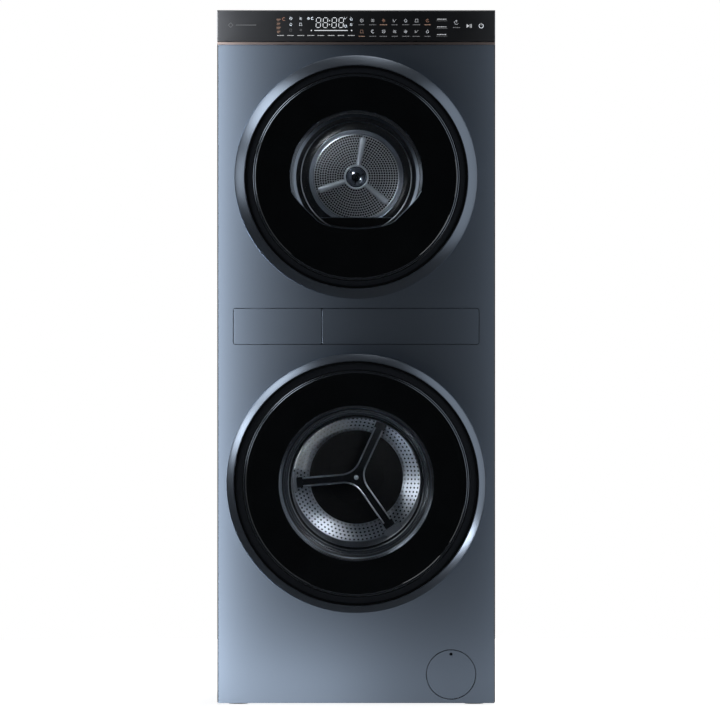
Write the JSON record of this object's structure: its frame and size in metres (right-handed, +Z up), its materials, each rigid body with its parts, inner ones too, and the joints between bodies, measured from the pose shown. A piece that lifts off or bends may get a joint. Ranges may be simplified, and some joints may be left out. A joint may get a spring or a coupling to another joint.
{
  "type": "washer dryer stack",
  "caption": "Tall laundry cabinet with a heat-pump dryer above a front-loading washer: round glass doors, touch panel, two drawers, drums, tub and drives inside.",
  "frame": {"origin": "on the floor, below the middle of the cabinet", "axes": "+Z up, +X to the right of a person facing the doors, the doors face -Y"},
  "size_m": [0.6, 0.66, 1.5],
  "materials": {
    "panel_paint": "satin metallic blue-grey",
    "bezel_metal": "satin metallic blue-grey",
    "zinc_steel": "galvanised sheet",
    "copper_trim": "polished copper-coloured metal",
    "black_glass": "black back-printed glass",
    "door_glass": "smoked glass with a black printed border",
    "clear_glass": "clear pressed glass",
    "dark_plastic": "fine moulded texture",
    "grey_plastic": "fine moulded texture",
    "tub_plastic": "light grey moulded plastic",
    "drum_steel": "perforated stainless steel",
    "cast_aluminium": "sand cast",
    "fin_aluminium": "thin fins",
    "bearing_steel": "ground steel",
    "compressor_paint": "black paint",
    "copper_winding": "enamelled winding",
    "rubber": "matt",
    "gasket_rubber": "matt dark grey",
    "felt": "pressed felt",
    "concrete": "cast concrete"
  },
  "bodies": {
    "cabinet": {"air_duct": "grey_plastic", "base_frame": "zinc_steel", "compressor": "compressor_paint", "control_glass": "black_glass", "control_housing": "dark_plastic", "counterweights": "concrete", "door_gasket": "gasket_rubber", "door_hinge_brackets": "zinc_steel", "door_locks": "dark_plastic", "drain_pump": "grey_plastic", "drawer_housing": "grey_plastic", "drive_belt": "rubber", "drum_bearings": "bearing_steel", "dryer_bulkhead": "grey_plastic", "dryer_felt_seal": "felt", "dryer_motors": "cast_aluminium", "dryer_rear_plate": "zinc_steel", "front_panel": "panel_paint", "heat_exchangers": "fin_aluminium", "levelling_feet": "rubber", "mid_shelf": "zinc_steel", "motor_stator": "copper_winding", "rear_fittings": "grey_plastic", "rear_panel": "zinc_steel", "side_panels": "panel_paint", "top_cover": "panel_paint", "trim_strip": "copper_trim", "tub_front": "tub_plastic", "tub_rear": "tub_plastic", "tub_suspension": "zinc_steel", "water_heater": "bearing_steel"},
    "upper_door": {"upper_door_bezel": "bezel_metal", "upper_door_glass": "door_glass", "upper_door_frame": "dark_plastic", "upper_window_bowl": "clear_glass", "upper_door_hardware": "zinc_steel"},
    "lower_door": {"lower_door_bezel": "bezel_metal", "lower_door_glass": "door_glass", "lower_door_frame": "dark_plastic", "lower_window_bowl": "clear_glass", "lower_door_hardware": "zinc_steel"},
    "detergent_drawer": {"detergent_tray": "tub_plastic", "detergent_front": "panel_paint"},
    "dosing_drawer": {"dosing_tray": "tub_plastic", "dosing_front": "panel_paint"},
    "dryer_drum": {"dryer_drum": "drum_steel", "dryer_lifters": "grey_plastic", "dryer_star": "cast_aluminium"},
    "washer_drum": {"washer_drum": "drum_steel", "drum_lifters": "dark_plastic", "rear_cross": "cast_aluminium", "drum_spider": "cast_aluminium", "motor_rotor": "zinc_steel"},
    "motor_pulley": {"motor_pulley": "bearing_steel"},
    "roller_left": {"drum_roller_left": "rubber"},
    "roller_right": {"drum_roller_right": "rubber"},
    "fan": {"fan_wheel": "grey_plastic"},
    "lint_filter": {"lint_filter": "dark_plastic"},
    "filter_cover": {"filter_cover": "panel_paint"},
    "drain_filter": {"drain_filter": "dark_plastic"}
  },
  "joints": [
    {"name": "upper_door_hinge", "type": "hinge", "parent": "cabinet", "child": "upper_door", "pos_m": [-0.252, -0.306, 1.14], "axis": [0, 0, -1], "range_deg": [0, 108]},
    {"name": "lower_door_hinge", "type": "hinge", "parent": "cabinet", "child": "lower_door", "pos_m": [-0.2695, -0.306, 0.479], "axis": [0, 0, -1], "range_deg": [0, 108]},
    {"name": "detergent_drawer_slide", "type": "slide", "parent": "cabinet", "child": "detergent_drawer", "axis": [0, -1, 0], "range_m": [0, 0.18]},
    {"name": "dosing_drawer_slide", "type": "slide", "parent": "cabinet", "child": "dosing_drawer", "axis": [0, -1, 0], "range_m": [0, 0.2]},
    {"name": "dryer_drum_spin", "type": "hinge", "parent": "cabinet", "child": "dryer_drum", "pos_m": [0, 0, 1.14], "axis": [0, 1, 0], "continuous": true},
    {"name": "washer_drum_spin", "type": "hinge", "parent": "cabinet", "child": "washer_drum", "pos_m": [0, 0, 0.479], "axis": [0, 1, 0], "continuous": true},
    {"name": "motor_pulley_spin", "type": "hinge", "parent": "cabinet", "child": "motor_pulley", "pos_m": [0.24, 0, 0.9], "axis": [0, 1, 0], "continuous": true},
    {"name": "roller_left_spin", "type": "hinge", "parent": "cabinet", "child": "roller_left", "pos_m": [-0.17225, 0, 0.89401], "axis": [0, 1, 0], "continuous": true},
    {"name": "roller_right_spin", "type": "hinge", "parent": "cabinet", "child": "roller_right", "pos_m": [0.17225, 0, 0.89401], "axis": [0, 1, 0], "continuous": true},
    {"name": "fan_spin", "type": "hinge", "parent": "cabinet", "child": "fan", "pos_m": [0.12, 0, 0.9], "axis": [0, 1, 0], "continuous": true},
    {"name": "lint_filter_slide", "type": "slide", "parent": "cabinet", "child": "lint_filter", "axis": [0, 0, 1], "range_m": [0, 0.12]},
    {"name": "filter_cover_pull", "type": "slide", "parent": "cabinet", "child": "filter_cover", "axis": [0, -1, 0], "range_m": [0, 0.05]},
    {"name": "drain_filter_turn", "type": "hinge", "parent": "cabinet", "child": "drain_filter", "pos_m": [0.205, -0.25, 0.065], "axis": [0, -1, 0], "range_deg": [0, 90]}
  ],
  "couplings": [
    {"joint": "motor_pulley_spin", "follows": "dryer_drum_spin", "ratio": 19.676},
    {"joint": "roller_left_spin", "follows": "dryer_drum_spin", "ratio": -14},
    {"joint": "roller_right_spin", "follows": "dryer_drum_spin", "ratio": -14}
  ]
}
